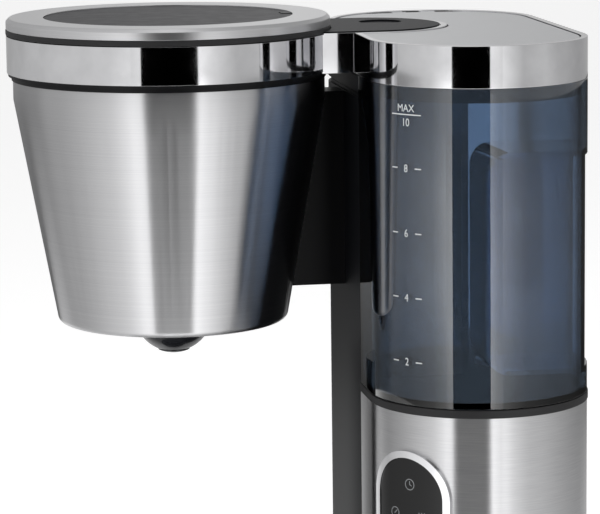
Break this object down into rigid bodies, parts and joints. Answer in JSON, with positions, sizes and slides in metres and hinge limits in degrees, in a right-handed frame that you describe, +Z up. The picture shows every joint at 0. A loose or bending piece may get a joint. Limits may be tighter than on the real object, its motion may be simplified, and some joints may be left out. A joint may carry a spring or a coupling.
{
  "type": "drip coffee maker",
  "caption": "Drip coffee maker with a brushed steel filter cone, a smoked lift-off water tank on a steel tower, and a warming plate.",
  "frame": {"origin": "centre of the bounding box on the table surface", "axes": "+Z up, -Y towards the user, basket on the -X side and tower on the +X side"},
  "size_m": [0.2568, 0.196, 0.36],
  "materials": {
    "base_plastic": "matt",
    "cover_plastic": "matt",
    "rubber": "matt",
    "seal_rubber": "satin",
    "screw_steel": "satin",
    "coated_plate": "satin",
    "cast_aluminium": "cast",
    "ceramic": "matt",
    "fuse_metal": "satin",
    "natural_plastic": "satin",
    "silicone": "satin",
    "pipe_steel": "polished",
    "brushed_steel": "brushed",
    "column_plastic": "satin",
    "black_plastic": "satin",
    "polished_metal": "polished",
    "panel_gloss": "gloss",
    "display_glass": "gloss",
    "board_green": "satin",
    "key_plastic": "satin",
    "grey_plastic": "satin",
    "spring_steel": "bright",
    "smoked_window": "smoked",
    "smoked_tank": "smoked blue"
  },
  "bodies": {
    "machine": {"base_housing": "base_plastic", "base_cover": "cover_plastic", "feet": "rubber", "base_screws": "screw_steel", "cable_gland": "base_plastic", "warming_plate": "coated_plate", "plate_seal": "rubber", "heater": "cast_aluminium", "heater_clamps": "screw_steel", "thermostat": "ceramic", "thermal_fuse": "fuse_metal", "check_valve": "natural_plastic", "cold_hose": "silicone", "feed_hose": "silicone", "hot_hose": "silicone", "riser_pipe": "pipe_steel", "hose_clamps": "screw_steel", "steel_body": "brushed_steel", "column": "column_plastic", "column_head": "column_plastic", "tank_socket": "black_plastic", "tank_gasket": "rubber", "seat_ring": "rubber", "panel_frame": "polished_metal", "panel_face": "panel_gloss", "display_lens": "display_glass", "control_board": "board_green", "key_switches": "panel_gloss", "arm_band": "polished_metal", "arm_tray": "black_plastic", "arm_cap": "column_plastic", "filter_holder": "black_plastic", "cone_shell": "brushed_steel", "basket_web": "black_plastic", "web_screws": "screw_steel", "drip_body": "black_plastic", "drip_spring": "spring_steel"},
    "basket_lid": {"lid_core": "black_plastic", "lid_ring": "brushed_steel", "lid_window": "smoked_window", "lid_clip": "black_plastic", "lid_seal": "rubber", "shower_tray": "black_plastic"},
    "insert": {"filter_insert": "grey_plastic"},
    "drip_stop": {"drip_plunger": "grey_plastic", "drip_seal": "seal_rubber"},
    "water_tank": {"tank": "smoked_tank", "valve_body": "natural_plastic", "valve_spring": "spring_steel", "lid_frame": "polished_metal", "lid_collar": "black_plastic", "flap_pin": "spring_steel"},
    "filling_flap": {"lid_flap": "brushed_steel"},
    "tank_valve": {"valve_plunger": "grey_plastic", "valve_seal": "seal_rubber"},
    "power_button": {"power_key": "key_plastic"},
    "timer_button": {"timer_key": "key_plastic"}
  },
  "joints": [
    {"name": "basket_lid_lift", "type": "slide", "parent": "machine", "child": "basket_lid", "axis": [0, 0, 1], "range_m": [0, 0.06]},
    {"name": "insert_lift", "type": "slide", "parent": "machine", "child": "insert", "axis": [0, 0, 1], "range_m": [0, 0.0034]},
    {"name": "drip_stop_push", "type": "slide", "parent": "machine", "child": "drip_stop", "axis": [0, 0, 1], "range_m": [0, 0.003], "stiffness_N_per_m": 200, "springref_m": -0.003, "deforming": ["drip_spring"]},
    {"name": "tank_lift", "type": "slide", "parent": "machine", "child": "water_tank", "axis": [0, 0, 1], "range_m": [0, 0.06]},
    {"name": "flap_open", "type": "hinge", "parent": "water_tank", "child": "filling_flap", "pos_m": [0.07812, 0.09106, 0.3505], "axis": [-1, 0, 0], "range_deg": [0, 80]},
    {"name": "tank_valve_close", "type": "slide", "parent": "water_tank", "child": "tank_valve", "axis": [0, 0, -1], "range_m": [0, 0.003], "deforming": ["valve_spring"]},
    {"name": "power_press", "type": "slide", "parent": "machine", "child": "power_button", "axis": [0.7826, 0.6225, 0], "range_m": [0, 0.0012], "stiffness_N_per_m": 400, "springref_m": -0.001},
    {"name": "timer_press", "type": "slide", "parent": "machine", "child": "timer_button", "axis": [0.7826, 0.6225, 0], "range_m": [0, 0.0012], "stiffness_N_per_m": 400, "springref_m": -0.001}
  ],
  "couplings": [
    {"joint": "tank_valve_close", "follows": "tank_lift", "ratio": 0.05}
  ]
}
